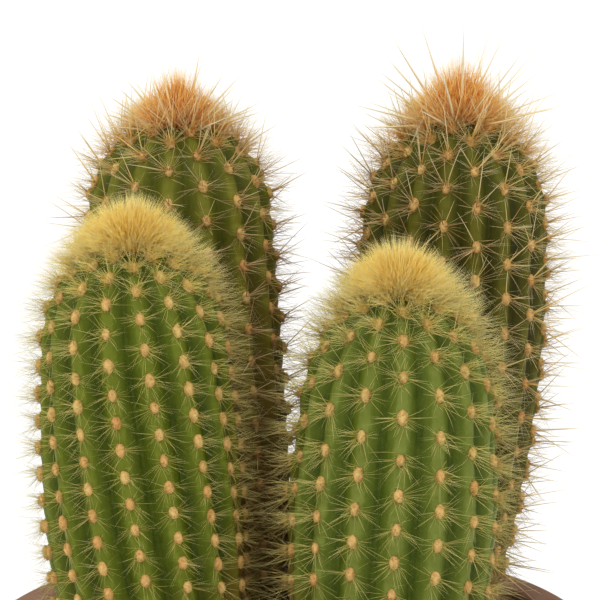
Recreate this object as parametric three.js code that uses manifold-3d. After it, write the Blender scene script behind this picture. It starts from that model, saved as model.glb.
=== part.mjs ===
// A clump of four ribbed columnar cacti growing in a plain round clay pot.
// Millimetres, +Z up. The origin is the centre of the pot's flat underside.

import * as THREE from "three";
import { mergeVertices } from "three/addons/utils/BufferGeometryUtils.js";
import Module from "manifold-3d";

const wasm = await Module();
wasm.setup();

// ---------------------------------------------------------------- sizes

// Pot: a tapered bowl with a thicker collar round its mouth and one drain hole.
const POT_HEIGHT = 132;
const POT_TAPER = 19; // radius lost from the foot of the collar to the base
const WALL = 6.5;
const BASE_THICKNESS = 10;
const COLLAR_HEIGHT = 32;
const COLLAR_STEP = 4; // how far the collar stands out from the bowl
const LIP_ROUND = 2.4;
const BASE_ROUND = 2;
const DRAIN_RADIUS = 9;
const POT_SEGMENTS = 48;

// Soil: fills the bowl nearly to the lip at the wall and is heaped up round the stems.
const EDGE_DROP = 4; // from the lip down to the soil at the wall
const SOIL_HEAP = 11; // from the soil at the wall up to the middle of the heap
const HEAP_AT_STEMS = 0.73; // share of the heap's rise where the stems come out of it
const SOIL_MARGIN = 4; // bare soil between the outermost stem and the wall

// Clearance between pieces that touch.
const FIT_GAP = 0.3;
const RIB_GAP = 0.4; // the same clearance measured across the ribs, whose sides slope

// Clump: the clear gaps between the stems where they leave the soil.
const FRONT_GAP = 7; // between the two front stems
const BACK_GAP = 3.5; // between the two back stems
const DEPTH_GAP = 1.5; // between the front pair and the back pair
const ROW_STAGGER = 10; // the back pair stands this far to the right of the front pair

// Stems: rounded columns that rise out of the soil at a slant and straighten as they grow.
const BURIED = 24;
const WAIST = 0.42; // share of the height at which a stem is fattest
const SHOULDER_TAPER = 0.07; // share of the radius lost from the waist to the rounded top
const BASE_TAPER = 0.1; // share of the radius lost from the waist to the soil
const RIB_DEPTH = 2.9;
const RIB_START = 14; // height over which the ribs come in above the soil
const AREOLE_RISE = 1.1; // how far the woolly cushions stand up from the rib crests

// Crown: the thatch of young bristles over each growing tip.
const CROWN_REACH = 0.62; // distance it covers down from the tip, over the stem's radius
const THATCH_FLOOR = 4; // depth of the thatch between the bristle tips
const SPINE_RADIUS = 0.9;
const SPINE_SPREAD = 1.25; // how far the outermost long spines splay from the axis
const GOLDEN_ANGLE = Math.PI * (3 - Math.sqrt(5)); // turn from each long spine to the next

// radius, height, lean of the tip from its foot, areole spacing, bristle and spine are in
// millimetres, and twist, the turn of the ribs from soil to tip, is in degrees. dome is the
// height of the rounded top over its radius
const STEMS = [
  {
    name: "front_left", radius: 25, height: 109.5, dome: 1.3, lean: [-4.5, -5],
    ribs: 16, areoleStep: 6.5, twist: -30, bristle: 13, spine: 16, spines: 12,
    skin: 0x4f7430, thatch: 0xd9bf6b,
  },
  {
    name: "front_right", radius: 26.5, height: 98, dome: 1.58, lean: [3, -4],
    ribs: 16, areoleStep: 8.2, twist: 5, bristle: 14, spine: 17, spines: 12,
    skin: 0x557a3a, thatch: 0xdcc06a,
  },
  {
    name: "back_left", radius: 27, height: 133, dome: 1.1, lean: [-6.5, 5],
    ribs: 16, areoleStep: 8.8, twist: -4, bristle: 11, spine: 24, spines: 14,
    skin: 0x49692f, thatch: 0xc8874a,
  },
  {
    name: "back_right", radius: 27, height: 134, dome: 1.3, lean: [13, 5],
    ribs: 18, areoleStep: 9.2, twist: -4, bristle: 13, spine: 29, spines: 16,
    skin: 0x425f2c, thatch: 0xc98d50,
  },
];

// ---------------------------------------------------------------- places worked out from the sizes

// Two stems stand side by side in each row, and the rows stand one behind the other, just
// far enough apart for the closest pair to keep the depth gap. The clump is then centred.
function placeFeet() {
  const [frontLeft, frontRight, backLeft, backRight] = STEMS;
  frontLeft.foot = [0, 0];
  frontRight.foot = [frontLeft.radius + frontRight.radius + FRONT_GAP, 0];
  const backSpan = backLeft.radius + backRight.radius + BACK_GAP;
  const depthBetween = (front, backX, back) => {
    const apart = front.radius + back.radius + DEPTH_GAP;
    return Math.sqrt(Math.max(apart ** 2 - (backX - front.foot[0]) ** 2, 0));
  };
  const depth = Math.max(
    depthBetween(frontLeft, ROW_STAGGER, backLeft),
    depthBetween(frontRight, ROW_STAGGER, backLeft),
    depthBetween(frontRight, ROW_STAGGER + backSpan, backRight),
  );
  backLeft.foot = [ROW_STAGGER, depth];
  backRight.foot = [ROW_STAGGER + backSpan, depth];
  const mean = (axis) => STEMS.reduce((sum, stem) => sum + stem.foot[axis], 0) / STEMS.length;
  const middle = [mean(0), mean(1)];
  for (const stem of STEMS) {
    stem.foot = [stem.foot[0] - middle[0], stem.foot[1] - middle[1]];
  }
}

placeFeet();

const clumpRadius = Math.max(...STEMS.map((stem) => Math.hypot(...stem.foot) + stem.radius));
const soilEdge = POT_HEIGHT - EDGE_DROP;
const soilTop = soilEdge + SOIL_HEAP * HEAP_AT_STEMS; // where the stems' heights count from
const mouthRadius = clumpRadius + SOIL_MARGIN + FIT_GAP;
const bowlRadius = mouthRadius + WALL; // outside, just under the collar
const rimRadius = bowlRadius + COLLAR_STEP;
const baseRadius = bowlRadius - POT_TAPER;
const collarFoot = POT_HEIGHT - COLLAR_HEIGHT;

// Outside radius of the tapered bowl at a height, and the inside that follows it.
function bowlOutside(z) {
  return baseRadius + (POT_TAPER * Math.min(z, collarFoot)) / collarFoot;
}

function bowlInside(z) {
  return bowlOutside(z) - WALL;
}

// ---------------------------------------------------------------- solids

function toSolid(geometry) {
  const bare = geometry.clone();
  bare.deleteAttribute("normal");
  bare.deleteAttribute("uv");
  const merged = mergeVertices(bare, 1e-4);
  const mesh = new wasm.Mesh({
    numProp: 3,
    vertProperties: new Float32Array(merged.attributes.position.array),
    triVerts: new Uint32Array(merged.index.array),
  });
  mesh.merge();
  return new wasm.Manifold(mesh);
}

function toGeometry(solid) {
  const mesh = solid.getMesh();
  const geometry = new THREE.BufferGeometry();
  geometry.setAttribute("position", new THREE.BufferAttribute(mesh.vertProperties, 3));
  geometry.setIndex(new THREE.BufferAttribute(mesh.triVerts, 1));
  geometry.computeVertexNormals();
  return geometry;
}

function namedMesh(name, geometry, color, roughness) {
  const material = new THREE.MeshStandardMaterial({ color, roughness, metalness: 0 });
  const mesh = new THREE.Mesh(geometry, material);
  mesh.name = name;
  return mesh;
}

// Points of a rounded corner from one angle to another, about a centre in (radius, height).
function corner(radius, height, round, from, to, steps) {
  const points = [];
  for (let i = 0; i <= steps; i += 1) {
    const angle = THREE.MathUtils.degToRad(from + ((to - from) * i) / steps);
    points.push([radius + round * Math.cos(angle), height + round * Math.sin(angle)]);
  }
  return points;
}

// Turns a closed outline of (radius, height) points about the Z axis.
function turned(outline, segments) {
  const points = outline.map(([radius, height]) => new THREE.Vector2(radius, height));
  const geometry = new THREE.LatheGeometry(points, segments);
  geometry.rotateX(Math.PI / 2);
  return geometry;
}

// ---------------------------------------------------------------- pot

function potGeometry() {
  const lipOuter = rimRadius - LIP_ROUND;
  const lipInner = mouthRadius + LIP_ROUND;
  const lipHeight = POT_HEIGHT - LIP_ROUND;
  const outline = [
    [DRAIN_RADIUS, 0],
    ...corner(baseRadius - BASE_ROUND, BASE_ROUND, BASE_ROUND, -90, 0, 2),
    [bowlRadius, collarFoot],
    [rimRadius - BASE_ROUND / 2, collarFoot],
    [rimRadius, collarFoot + BASE_ROUND],
    ...corner(lipOuter, lipHeight, LIP_ROUND, 0, 90, 3),
    ...corner(lipInner, lipHeight, LIP_ROUND, 90, 180, 3),
    [mouthRadius, collarFoot],
    [bowlInside(BASE_THICKNESS), BASE_THICKNESS],
    [DRAIN_RADIUS, BASE_THICKNESS],
    [DRAIN_RADIUS, 0],
  ];
  return turned(outline, POT_SEGMENTS);
}

// ---------------------------------------------------------------- stems

// Radius and height of the stem's smooth skin, a distance down its side from the tip.
function meridian(stem, distance) {
  const shoulder = stem.radius * (1 - SHOULDER_TAPER);
  const domeHeight = shoulder * stem.dome;
  const domeFoot = stem.height - domeHeight;
  const domeArc = ((shoulder + domeHeight) / 2) * (Math.PI / 2);
  if (distance < domeArc) {
    const angle = (distance / domeArc) * (Math.PI / 2);
    return {
      radius: shoulder * Math.sin(angle),
      height: stem.height - domeHeight * (1 - Math.cos(angle)),
    };
  }
  const height = domeFoot - (distance - domeArc);
  const waist = stem.height * WAIST;
  const isAbove = height > waist;
  const taper = isAbove ? SHOULDER_TAPER : BASE_TAPER;
  const share = isAbove ? (height - waist) / (domeFoot - waist) : 1 - height / waist;
  return { radius: stem.radius * (1 - taper * share * share), height };
}

// Point on the stem's axis at a height above the soil, with the direction along it and the
// two directions across it. Below the soil the axis runs on straight.
function axisFrame(stem, height) {
  const share = height / stem.height;
  const bend = share > 0 ? 2 * share - share * share : 2 * share;
  const slope = (2 - 2 * Math.max(share, 0)) / stem.height;
  const centre = new THREE.Vector3(
    stem.foot[0] + stem.lean[0] * bend,
    stem.foot[1] + stem.lean[1] * bend,
    soilTop + height,
  );
  const up = new THREE.Vector3(stem.lean[0] * slope, stem.lean[1] * slope, 1).normalize();
  const across = new THREE.Vector3(1, 0, 0).addScaledVector(up, -up.x).normalize();
  const deep = new THREE.Vector3().crossVectors(up, across);
  return { centre, up, across, deep };
}

// How strongly the ribs show at a height: none at the soil and none at the very tip.
function ribShare(stem, radius, height) {
  const comeIn = THREE.MathUtils.smoothstep(height, 0, RIB_START);
  return comeIn * Math.min(radius / stem.radius, 1);
}

// Whether a point of a ring carries an areole: on the rib crests, on every other ring, and
// staggered from each rib to the next. Crests are the even columns and grooves the odd ones.
function hasAreole(ring, column) {
  return column % 2 === 0 && (ring + column / 2) % 2 === 0;
}

// One ring of the stem, as points round it.
function stemRing(stem, radius, height, ring, grow) {
  const { centre, across, deep } = axisFrame(stem, height);
  const turn = THREE.MathUtils.degToRad(stem.twist) * (height / stem.height);
  const share = ribShare(stem, radius, height);
  const columns = stem.ribs * 2;
  const points = [];
  for (let column = 0; column < columns; column += 1) {
    const angle = (column / columns) * 2 * Math.PI + turn;
    const groove = column % 2 === 1 ? RIB_DEPTH * share : 0;
    const rise = hasAreole(ring, column) ? AREOLE_RISE * share : 0;
    const reach = radius - groove + rise + grow;
    const point = centre.clone().addScaledVector(across, reach * Math.cos(angle));
    points.push(point.addScaledVector(deep, reach * Math.sin(angle)));
  }
  return points;
}

// Radii and heights of the rings from the tip down, then the smooth foot below the soil.
function stemProfile(stem) {
  const rings = [];
  const step = stem.areoleStep / 2;
  for (let distance = step; meridian(stem, distance).height > step; distance += step) {
    rings.push(meridian(stem, distance));
  }
  const footRadius = stem.radius * (1 - BASE_TAPER);
  rings.push({ radius: footRadius, height: 0 });
  rings.push({ radius: footRadius * 0.9, height: -BURIED * 0.6 });
  rings.push({ radius: footRadius * 0.5, height: -BURIED });
  return rings;
}

// Closes a stack of equal rings into a solid: a fan at each end and two triangles to a
// square between. Their shared edge keeps clear of the raised corners, so each raised
// point stands as a small pyramid.
function stackedRings(rings, topPoint, bottomPoint, isRaised) {
  const columns = rings[0].length;
  const positions = [topPoint, ...rings.flat(), bottomPoint].flatMap((point) => point.toArray());
  const bottomIndex = positions.length / 3 - 1;
  const at = (ring, column) => 1 + ring * columns + (column % columns);
  const faces = [];
  for (let column = 0; column < columns; column += 1) {
    const next = (column + 1) % columns;
    faces.push(0, at(0, column), at(0, next));
    for (let ring = 0; ring + 1 < rings.length; ring += 1) {
      const corners = [at(ring, column), at(ring + 1, column), at(ring + 1, next), at(ring, next)];
      const [a, b, c, d] = corners;
      if (isRaised(ring, column) || isRaised(ring + 1, next)) {
        faces.push(a, b, d, b, c, d);
      } else {
        faces.push(a, b, c, a, c, d);
      }
    }
    const last = rings.length - 1;
    faces.push(bottomIndex, at(last, next), at(last, column));
  }
  const geometry = new THREE.BufferGeometry();
  geometry.setAttribute("position", new THREE.Float32BufferAttribute(positions, 3));
  geometry.setIndex(faces);
  geometry.computeVertexNormals();
  return geometry;
}

// The stem, or with grow above zero the same shape swollen on every side.
function stemGeometry(stem, grow = 0) {
  const profile = stemProfile(stem);
  const rings = profile.map(({ radius, height }, index) => {
    const isRoot = index === profile.length - 1;
    return stemRing(stem, radius, isRoot ? height - grow : height, index, grow);
  });
  const tip = axisFrame(stem, stem.height + grow).centre;
  const root = axisFrame(stem, -BURIED - grow).centre;
  return stackedRings(rings, tip, root, hasAreole);
}

// ---------------------------------------------------------------- soil

function soilGeometry() {
  const floor = BASE_THICKNESS + FIT_GAP;
  const wallAngle = Math.atan2(POT_TAPER, collarFoot);
  const wallGap = FIT_GAP / Math.cos(wallAngle);
  const edge = mouthRadius - FIT_GAP;
  const outline = [
    [0, floor],
    [bowlInside(floor) - wallGap, floor],
    [edge, collarFoot],
    [edge, soilEdge],
    [edge * 0.86, soilEdge + SOIL_HEAP * 0.48],
    [edge * 0.55, soilEdge + SOIL_HEAP * 0.88],
    [0, soilEdge + SOIL_HEAP],
  ];
  let soil = toSolid(turned(outline, POT_SEGMENTS));
  for (const stem of STEMS) {
    soil = soil.subtract(toSolid(stemGeometry(stem, RIB_GAP)));
  }
  return toGeometry(soil);
}

// ---------------------------------------------------------------- crowns

// A slender four-sided spine from a root point along a direction.
function spineSolid(root, direction, length) {
  const geometry = new THREE.ConeGeometry(SPINE_RADIUS, length, 4);
  geometry.translate(0, length / 2, 0);
  const turn = new THREE.Quaternion().setFromUnitVectors(new THREE.Vector3(0, 1, 0), direction);
  geometry.applyQuaternion(turn);
  geometry.translate(root.x, root.y, root.z);
  return toSolid(geometry);
}

// The crown is a shell that sits on the stem's own rings, one clearance away. Its outside
// rises and falls from point to point as a thatch of short bristles, and long spines splay
// out of it round the tip.
function crownGeometry(stem) {
  const reach = CROWN_REACH * stem.radius;
  const ringCount = Math.floor(reach / (stem.areoleStep / 2));
  const profile = stemProfile(stem).slice(0, ringCount);
  const { centre: tip, up, across, deep } = axisFrame(stem, stem.height);
  const isBristle = (ring, column) => (ring + column) % 2 === 0 && ring < ringCount - 1;
  const inner = profile.map(({ radius, height }, ring) =>
    stemRing(stem, radius, height + FIT_GAP, ring, FIT_GAP),
  );
  const outer = inner.map((points, ring) => {
    const flare = profile[ring].radius / stem.radius;
    const length = ring === ringCount - 1 ? THATCH_FLOOR / 2 : THATCH_FLOOR;
    const axisPoint = axisFrame(stem, profile[ring].height).centre;
    return points.map((point, column) => {
      const outward = point.clone().sub(axisPoint).projectOnPlane(up).normalize();
      const direction = up.clone().addScaledVector(outward, 0.2 + 1.6 * flare).normalize();
      const rise = isBristle(ring, column) ? stem.bristle : length;
      return point.clone().addScaledVector(direction, rise * (1 - 0.45 * flare));
    });
  });
  const top = tip.clone().addScaledVector(up, stem.bristle);
  const under = tip.clone().addScaledVector(up, FIT_GAP);
  let crown = toSolid(stackedRings([...outer, ...inner.reverse()], top, under, isBristle));
  for (let i = 0; i < stem.spines; i += 1) {
    const around = i * GOLDEN_ANGLE;
    const share = Math.sqrt((i + 0.5) / stem.spines);
    const outward = across.clone().multiplyScalar(Math.cos(around));
    outward.addScaledVector(deep, Math.sin(around));
    const direction = up.clone().addScaledVector(outward, SPINE_SPREAD * share).normalize();
    const root = tip.clone().addScaledVector(up, FIT_GAP + (THATCH_FLOOR / 2) * (1 - share));
    root.addScaledVector(outward, (share * reach) / 2);
    crown = crown.add(spineSolid(root, direction, stem.spine));
  }
  return toGeometry(crown);
}

// ---------------------------------------------------------------- the potted cactus

const cactus = new THREE.Group();
cactus.add(namedMesh("pot", potGeometry(), 0x7a5036, 0.85));
cactus.add(namedMesh("soil", soilGeometry(), 0x3b2a20, 1));
for (const stem of STEMS) {
  cactus.add(namedMesh(`stem_${stem.name}`, stemGeometry(stem), stem.skin, 0.6));
  cactus.add(namedMesh(`crown_${stem.name}`, crownGeometry(stem), stem.thatch, 0.8));
}

export default cactus;
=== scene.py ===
import math

import bpy
import numpy as np
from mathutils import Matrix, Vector


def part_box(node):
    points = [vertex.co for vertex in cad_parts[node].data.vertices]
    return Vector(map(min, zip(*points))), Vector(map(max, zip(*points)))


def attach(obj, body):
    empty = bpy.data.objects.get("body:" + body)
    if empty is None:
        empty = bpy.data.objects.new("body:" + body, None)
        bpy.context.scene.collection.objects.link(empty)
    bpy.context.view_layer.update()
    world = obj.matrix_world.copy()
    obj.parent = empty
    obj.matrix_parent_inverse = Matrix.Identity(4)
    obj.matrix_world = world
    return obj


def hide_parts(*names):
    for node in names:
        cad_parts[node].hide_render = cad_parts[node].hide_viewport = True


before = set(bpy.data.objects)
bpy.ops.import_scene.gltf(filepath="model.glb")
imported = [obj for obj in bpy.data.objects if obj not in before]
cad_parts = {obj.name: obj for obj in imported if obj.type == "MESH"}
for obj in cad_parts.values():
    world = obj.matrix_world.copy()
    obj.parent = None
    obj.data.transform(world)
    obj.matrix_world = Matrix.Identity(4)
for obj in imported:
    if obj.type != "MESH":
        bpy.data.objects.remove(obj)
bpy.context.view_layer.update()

# A clump of four ribbed columnar cacti in a clay pot. The sizes below are the CAD model's own,
# in millimetres and degrees, and each mesh is built in millimetres and scaled to metres.

MM = 0.001
TAU = 2 * math.pi
GOLDEN_ANGLE = math.pi * (3 - math.sqrt(5))
LEVEL = [1, 1, 0]  # times a direction, leaves only what is level in it

# Pot and soil
POT_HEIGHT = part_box("pot")[1].z / MM
RIM_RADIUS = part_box("pot")[1].x / MM
POT_TAPER = 19
WALL = 6.5
BASE_THICKNESS = 10
COLLAR_HEIGHT = 32
COLLAR_STEP = 4
LIP_ROUND = 2.4
BASE_ROUND = 2
DRAIN_RADIUS = 9
EDGE_DROP = 4
SOIL_HEAP = 11
HEAP_AT_STEMS = 0.73
FIT_GAP = 0.3

# Clump
FRONT_GAP = 7
BACK_GAP = 3.5
DEPTH_GAP = 1.5
ROW_STAGGER = 10

# Stems
BURIED = 24
WAIST = 0.42
SHOULDER_TAPER = 0.07
BASE_TAPER = 0.1
RIB_DEPTH = 2.9
RIB_START = 14

# height, radius and lean of the tip are in millimetres, and dome is how high the rounded top is
# as a share of its radius. step is the distance from areole to areole. twist is how far the ribs
# turn from soil to tip, and turn sets where the first rib stands. bristle and spine are the
# lengths of the crown's bristles and of its stout spines. hairs, hair and fine are the number,
# radius and length of the radial spines of a grown areole, needles is how many stout spines
# stand out of it besides the first, and fringe is how many long fine hairs stand out of a young
# one. reach is how far the thick of the crown comes down from the tip.
STEMS = [
    dict(name="front_left", radius=25, height=109.5, dome=1.3, lean=(-4.5, -5), ribs=16, step=6.5,
         twist=-30, turn=12, bristle=13, spine=16, hairs=20, hair=0.043, fine=7, reach=8.2,
         needles=0, fringe=41, crown="golden", seed=11),
    dict(name="front_right", radius=26.5, height=98, dome=1.58, lean=(3, -4), ribs=16, step=8.2,
         twist=5, turn=-3, bristle=13.5, spine=17, hairs=20, hair=0.052, fine=8.4, reach=8,
         needles=0, fringe=54, crown="golden", seed=12),
    dict(name="back_left", radius=27, height=133, dome=1.1, lean=(-6.5, 5), ribs=16, step=8.8,
         twist=-4, turn=0, bristle=12, spine=22, hairs=16, hair=0.055, fine=8.6, reach=8.5,
         needles=2, fringe=24, crown="rust", seed=13),
    dict(name="back_right", radius=27, height=134, dome=1.3, lean=(13, 5), ribs=18, step=9.2,
         twist=-4, turn=2, bristle=14, spine=31, hairs=16, hair=0.056, fine=9.5, reach=9,
         needles=2, fringe=28, crown="rust", seed=14),
]

# What sets the two kinds of crown apart: number, radius and share of full length of the stout
# spines, how much longer the bristles in the middle are, and the length of an areole's central
# spines against its radial ones.
CROWNS = {
    "golden": dict(stout=14, stout_radius=0.12, stout_length=0.85, plume=0, central=1.15),
    "rust": dict(stout=34, stout_radius=0.38, stout_length=1, plume=0.4, central=1.65),
}

# Where the random draws start; the last three are added to each stem's own seed
POT_SEED, SOIL_SEED, CRUMB_SEED = 21, 31, 41
AREOLE_SEED, SPINE_SEED, CROWN_SEED = 100, 200, 300

MOUTH_RADIUS = RIM_RADIUS - COLLAR_STEP - WALL
BOWL_RADIUS = RIM_RADIUS - COLLAR_STEP
BASE_RADIUS = BOWL_RADIUS - POT_TAPER
COLLAR_FOOT = POT_HEIGHT - COLLAR_HEIGHT
SOIL_EDGE = POT_HEIGHT - EDGE_DROP
SOIL_TOP = SOIL_EDGE + SOIL_HEAP * HEAP_AT_STEMS
SOIL_RADIUS = MOUTH_RADIUS - FIT_GAP
SOIL_FLOOR = BASE_THICKNESS + FIT_GAP


# ---------------------------------------------------------------- stem surface

def place_feet():
    """Sets the stems' feet side by side in two rows, with the middle of them at the axis."""
    front_left, front_right, back_left, back_right = STEMS
    front_left["foot"] = (0.0, 0.0)
    front_right["foot"] = (front_left["radius"] + front_right["radius"] + FRONT_GAP, 0.0)
    back_span = back_left["radius"] + back_right["radius"] + BACK_GAP

    def depth_between(front, x, back):
        apart = front["radius"] + back["radius"] + DEPTH_GAP
        return math.sqrt(max(apart**2 - (x - front["foot"][0]) ** 2, 0))

    depth = max(
        depth_between(front_left, ROW_STAGGER, back_left),
        depth_between(front_right, ROW_STAGGER, back_left),
        depth_between(front_right, ROW_STAGGER + back_span, back_right),
    )
    back_left["foot"] = (ROW_STAGGER, depth)
    back_right["foot"] = (ROW_STAGGER + back_span, depth)
    middle = np.mean([stem["foot"] for stem in STEMS], axis=0)
    for stem in STEMS:
        stem["foot"] = np.array(stem["foot"]) - middle


def dome(stem):
    """Shoulder radius, height and arc length of the rounded top."""
    shoulder = stem["radius"] * (1 - SHOULDER_TAPER)
    return shoulder, shoulder * stem["dome"], (1 + stem["dome"]) / 2 * shoulder * math.pi / 2


def meridian(stem, d):
    """Radius and height of the smooth skin at distances d down the side from the tip."""
    shoulder, dome_height, arc = dome(stem)
    height, waist = stem["height"], stem["height"] * WAIST
    a = np.minimum(d / arc, 1) * math.pi / 2
    h = np.where(d < arc, height - dome_height * (1 - np.cos(a)), height - dome_height - (d - arc))
    above = 1 - SHOULDER_TAPER * ((h - waist) / (height - dome_height - waist)) ** 2
    below = 1 - BASE_TAPER * (1 - np.maximum(h, 0) / waist) ** 2
    r = stem["radius"] * np.where(h > waist, above, below)
    buried = np.sqrt(np.clip(1 - (np.maximum(-h, 0) / BURIED) ** 2, 0, 1))
    return np.where(d < arc, shoulder * np.sin(a), r * buried), h


def length_of(stem):
    """Distance down the side from the tip to the soil."""
    _, dome_height, arc = dome(stem)
    return arc + stem["height"] - dome_height


def unit(v):
    return v / np.maximum(np.linalg.norm(v, axis=-1, keepdims=True), 1e-9)


def circle(count):
    """Angles of points set evenly round a circle."""
    return np.arange(count) / count * 2 * math.pi


def on_stem(stem, r, h, angle):
    """Points at radius r, height h over the soil and an angle round the stem's axis."""
    u = h / stem["height"]
    bend = np.where(u > 0, 2 * u - u * u, 2 * u)
    slope = (2 - 2 * np.maximum(u, 0)) / stem["height"]
    lean, foot = stem["lean"], stem["foot"]
    centre = np.stack([foot[0] + lean[0] * bend, foot[1] + lean[1] * bend, SOIL_TOP + h], -1)
    up = unit(np.stack([lean[0] * slope, lean[1] * slope, np.ones_like(slope)], -1))
    across = unit(np.array([1.0, 0, 0]) - up * up[..., :1])
    deep = np.cross(up, across)
    t = angle + np.radians(stem["twist"]) * u + math.radians(stem["turn"])
    return centre + across * (r * np.cos(t))[..., None] + deep * (r * np.sin(t))[..., None]


def skin_point(stem, d, angle):
    return on_stem(stem, *meridian(stem, d), angle)


def skin_frame(stem, d, angle):
    """Point, outward normal, direction to the tip and direction round the stem."""
    along, around, top = 0.4, 0.01, 0.02
    at = skin_point(stem, d, angle)
    up = unit(skin_point(stem, np.maximum(d - along, top), angle)
              - skin_point(stem, d + along, angle))
    round_ = unit(skin_point(stem, d, angle + around) - skin_point(stem, d, angle - around))
    normal = unit(np.cross(round_, up))
    return at, normal, up, unit(np.cross(up, normal))


def rib_share(stem, r, h):
    """How strongly the ribs show: none at the soil and none at the tip."""
    t = np.clip(h / RIB_START, 0, 1)
    return t * t * (3 - 2 * t) * np.minimum(r / stem["radius"], 1)


LAST_AREOLE = 1.5  # the least distance from an areole to the soil
CROWN_COVER = 0.7  # the share of the crown's reach that hides what grows under it


def first_areole(stem, rib):
    """Distance from the tip to a rib's first areole, half a step more on every other rib."""
    return stem["step"] * (1 + 0.5 * (rib % 2))


def areoles(stem):
    """Distance from the tip and angle of every areole, staggered from rib to rib."""
    found = []
    for rib in range(stem["ribs"]):
        d = first_areole(stem, rib)
        while d < length_of(stem) - LAST_AREOLE:
            found.append((d, TAU * rib / stem["ribs"]))
            d += stem["step"]
    return np.array(found)


def bare_areoles(stem):
    """The areoles that stand clear of the thick of the crown."""
    spots = areoles(stem)
    return spots[spots[:, 0] > stem["reach"] * CROWN_COVER]


def waves(x, y, rng, amount, low, high, count=7):
    """A smooth random height over a plane, as a few sine waves."""
    total = np.zeros_like(x)
    for _ in range(count):
        k, heading, phase = rng.uniform(low, high), rng.uniform(0, TAU), rng.uniform(0, 7)
        total += np.sin(k * (x * math.cos(heading) + y * math.sin(heading)) + phase)
    return amount * total / count


# ---------------------------------------------------------------- meshes

def add_object(name, data):
    thing = bpy.data.objects.new(name, data)
    bpy.context.scene.collection.objects.link(thing)
    return thing


def make_piece(name, points, quads, tris, uv, material, replaces=(), values=None):
    """A mesh piece from points in millimetres; uv has one row for each face corner."""
    mesh = bpy.data.meshes.new(name)
    quads = np.asarray(quads, np.int32).reshape(-1, 4)
    tris = np.asarray(tris, np.int32).reshape(-1, 3)
    corners = np.concatenate([quads.ravel(), tris.ravel()])
    sizes = np.concatenate([np.full(len(quads), 4), np.full(len(tris), 3)])
    starts = np.concatenate([[0], np.cumsum(sizes)[:-1]]).astype(np.int32)
    mesh.vertices.add(len(points))
    mesh.vertices.foreach_set("co", (np.asarray(points) * MM).astype(np.float32).ravel())
    mesh.loops.add(len(corners))
    mesh.loops.foreach_set("vertex_index", corners)
    mesh.polygons.add(len(sizes))
    mesh.polygons.foreach_set("loop_start", starts)
    mesh.update(calc_edges=True)
    mesh.shade_smooth()
    layer = mesh.uv_layers.new(name="OFBake")
    layer.data.foreach_set("uv", np.asarray(uv, np.float32).ravel())
    for key, value in (values or {}).items():
        attribute = mesh.attributes.new(key, "FLOAT", "POINT")
        attribute.data.foreach_set("value", np.asarray(value, np.float32).ravel())
    mesh.materials.append(material)
    piece = add_object(name, mesh)
    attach(piece, "root")
    if replaces:
        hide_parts(*replaces)
    return piece


def corner_uvs(*corners):
    """The UVs of faces, from the u and the v of each corner, as arrays or single numbers."""
    return np.stack([np.stack(np.broadcast_arrays(u, v), -1) for u, v in corners], -2)


def closed_grid(rings, columns):
    """Faces and corner UVs of rings of points closed by a point at each end, from the top down."""
    c = np.arange(columns)
    i = np.arange(rings - 1)[:, None]
    n = (c + 1) % columns
    quads = np.stack([1 + i * columns + c, 1 + (i + 1) * columns + c,
                      1 + (i + 1) * columns + n, 1 + i * columns + n], -1).reshape(-1, 4)
    end = 1 + rings * columns
    last = 1 + (rings - 1) * columns
    top = np.stack([np.zeros_like(c), 1 + c, 1 + n], -1)
    bottom = np.stack([np.full_like(c, end), last + n, last + c], -1)
    u0, u1 = c / columns, (c + 1) / columns
    middle = (u0 + u1) / 2
    v = 1 - (np.arange(rings) + 1) / (rings + 1)
    v0, v1 = v[:-1, None], v[1:, None]
    uvs = [corner_uvs((u0, v0), (u0, v1), (u1, v1), (u1, v0)),
           corner_uvs((middle, 1), (u0, v[0]), (u1, v[0])),
           corner_uvs((middle, 0), (u1, v[-1]), (u0, v[-1]))]
    return (quads, np.concatenate([top, bottom]),
            np.concatenate([face_uv.reshape(-1, 2) for face_uv in uvs]))


class Bunch:
    """Gathers many small closed shapes into one mesh. tint and along give each corner's place on
    the map, and its colour depends on nothing else."""

    def __init__(self):
        self.points, self.quads, self.tris, self.quad_uv, self.tri_uv = [], [], [], [], []
        self.tint, self.along, self.count = [], [], 0

    def add(self, points, quads, tris, quad_uv, tri_uv, tint, along):
        """Adds one row of points, faces and UVs for each shape, all with the same faces; tint has
        a value for each shape and along one for each of its points."""
        shapes, per = points.shape[:2]
        base = self.count + (np.arange(shapes) * per)[:, None, None]
        self.points.append(points.reshape(-1, 3))
        self.quads.append((quads[None] + base).reshape(-1, 4))
        self.tris.append((tris[None] + base).reshape(-1, 3))
        self.quad_uv.append(quad_uv.reshape(-1, 2))
        self.tri_uv.append(tri_uv.reshape(-1, 2))
        self.tint.append(np.repeat(tint, per))
        self.along.append(np.tile(along, shapes))
        self.count += shapes * per

    def piece(self, name, material, slot, replaces=()):
        join = np.concatenate
        return make_piece(name, join(self.points), join(self.quads), join(self.tris),
                          join([join(self.quad_uv), join(self.tri_uv)]), material, replaces,
                          {"tint": join(self.tint), "along": join(self.along)})


TINT_WIDTH = 0.03  # width on the map of the column that a strand or a cushion takes
CAP_DEPTH = 0.02  # height on the map of the face that closes a strand's root
STRAND_TAPER = 0.7


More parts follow.
